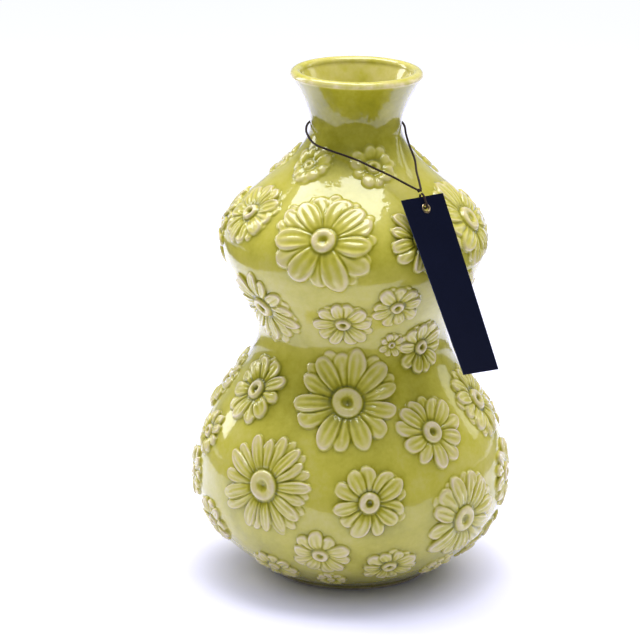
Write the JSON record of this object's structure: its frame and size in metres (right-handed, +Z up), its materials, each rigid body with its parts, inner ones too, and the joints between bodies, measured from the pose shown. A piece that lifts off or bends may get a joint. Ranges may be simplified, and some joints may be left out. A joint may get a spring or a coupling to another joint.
{
  "type": "ceramic vase",
  "caption": "Double-gourd glazed vase with a flared neck, raised daisy flowers all round and a blank card tag on a neck cord.",
  "frame": {"origin": "middle of the base, on the plane that the foot ring stands on", "axes": "+Z up along the axis of revolution; the front with the largest flowers faces -Y; the tag hangs at the front right, towards +X and -Y"},
  "size_m": [0.1888, 0.1986, 0.302],
  "materials": {
    "glaze": "gloss",
    "flower_glaze": "gloss",
    "cord": "matte",
    "card": "matte",
    "eyelet": "satin"
  },
  "bodies": {
    "vase": {"lower_gourd": "glaze", "upper_gourd": "glaze", "neck": "glaze", "lower_flower_1": "flower_glaze", "lower_flower_2": "flower_glaze", "lower_flower_3": "flower_glaze", "lower_flower_4": "flower_glaze", "lower_flower_5": "flower_glaze", "lower_flower_6": "flower_glaze", "lower_flower_7": "flower_glaze", "lower_flower_8": "flower_glaze", "lower_flower_9": "flower_glaze", "lower_flower_10": "flower_glaze", "lower_flower_11": "flower_glaze", "lower_flower_12": "flower_glaze", "lower_flower_13": "flower_glaze", "lower_flower_14": "flower_glaze", "lower_flower_15": "flower_glaze", "lower_flower_16": "flower_glaze", "lower_flower_17": "flower_glaze", "lower_flower_18": "flower_glaze", "lower_flower_19": "flower_glaze", "lower_flower_20": "flower_glaze", "lower_flower_21": "flower_glaze", "lower_flower_22": "flower_glaze", "lower_flower_23": "flower_glaze", "lower_flower_24": "flower_glaze", "lower_flower_25": "flower_glaze", "lower_flower_26": "flower_glaze", "lower_flower_27": "flower_glaze", "lower_flower_28": "flower_glaze", "lower_flower_29": "flower_glaze", "upper_flower_1": "flower_glaze", "upper_flower_2": "flower_glaze", "upper_flower_3": "flower_glaze", "upper_flower_4": "flower_glaze", "upper_flower_5": "flower_glaze", "upper_flower_6": "flower_glaze", "upper_flower_7": "flower_glaze", "upper_flower_8": "flower_glaze", "upper_flower_9": "flower_glaze", "upper_flower_10": "flower_glaze", "upper_flower_11": "flower_glaze", "upper_flower_12": "flower_glaze", "upper_flower_13": "flower_glaze", "upper_flower_14": "flower_glaze", "upper_flower_15": "flower_glaze", "upper_flower_16": "flower_glaze", "upper_flower_17": "flower_glaze", "upper_flower_18": "flower_glaze", "upper_flower_19": "flower_glaze", "upper_flower_20": "flower_glaze", "upper_flower_21": "flower_glaze", "upper_flower_22": "flower_glaze", "upper_flower_23": "flower_glaze"},
    "cord_loop": {"neck_cord": "cord", "cord_knot": "cord"},
    "cord_bight": {"tag_bight": "cord"},
    "tag": {"tag_eyelet": "eyelet", "tag_card": "card"}
  },
  "joints": [
    {"name": "loop_turn", "type": "hinge", "parent": "vase", "child": "cord_loop", "pos_m": [0, 0, 0.27], "axis": [0, 0, 1], "continuous": true},
    {"name": "tag_lift", "type": "hinge", "parent": "cord_loop", "child": "cord_bight", "pos_m": [0.03681, -0.04712, 0.24249], "axis": [-0.788, -0.6157, 0], "range_deg": [0, 110]},
    {"name": "tag_swing", "type": "hinge", "parent": "cord_bight", "child": "tag", "pos_m": [0.04046, -0.05179, 0.23299], "axis": [0.5222, -0.6684, 0.5297], "range_deg": [-20, 20]}
  ]
}
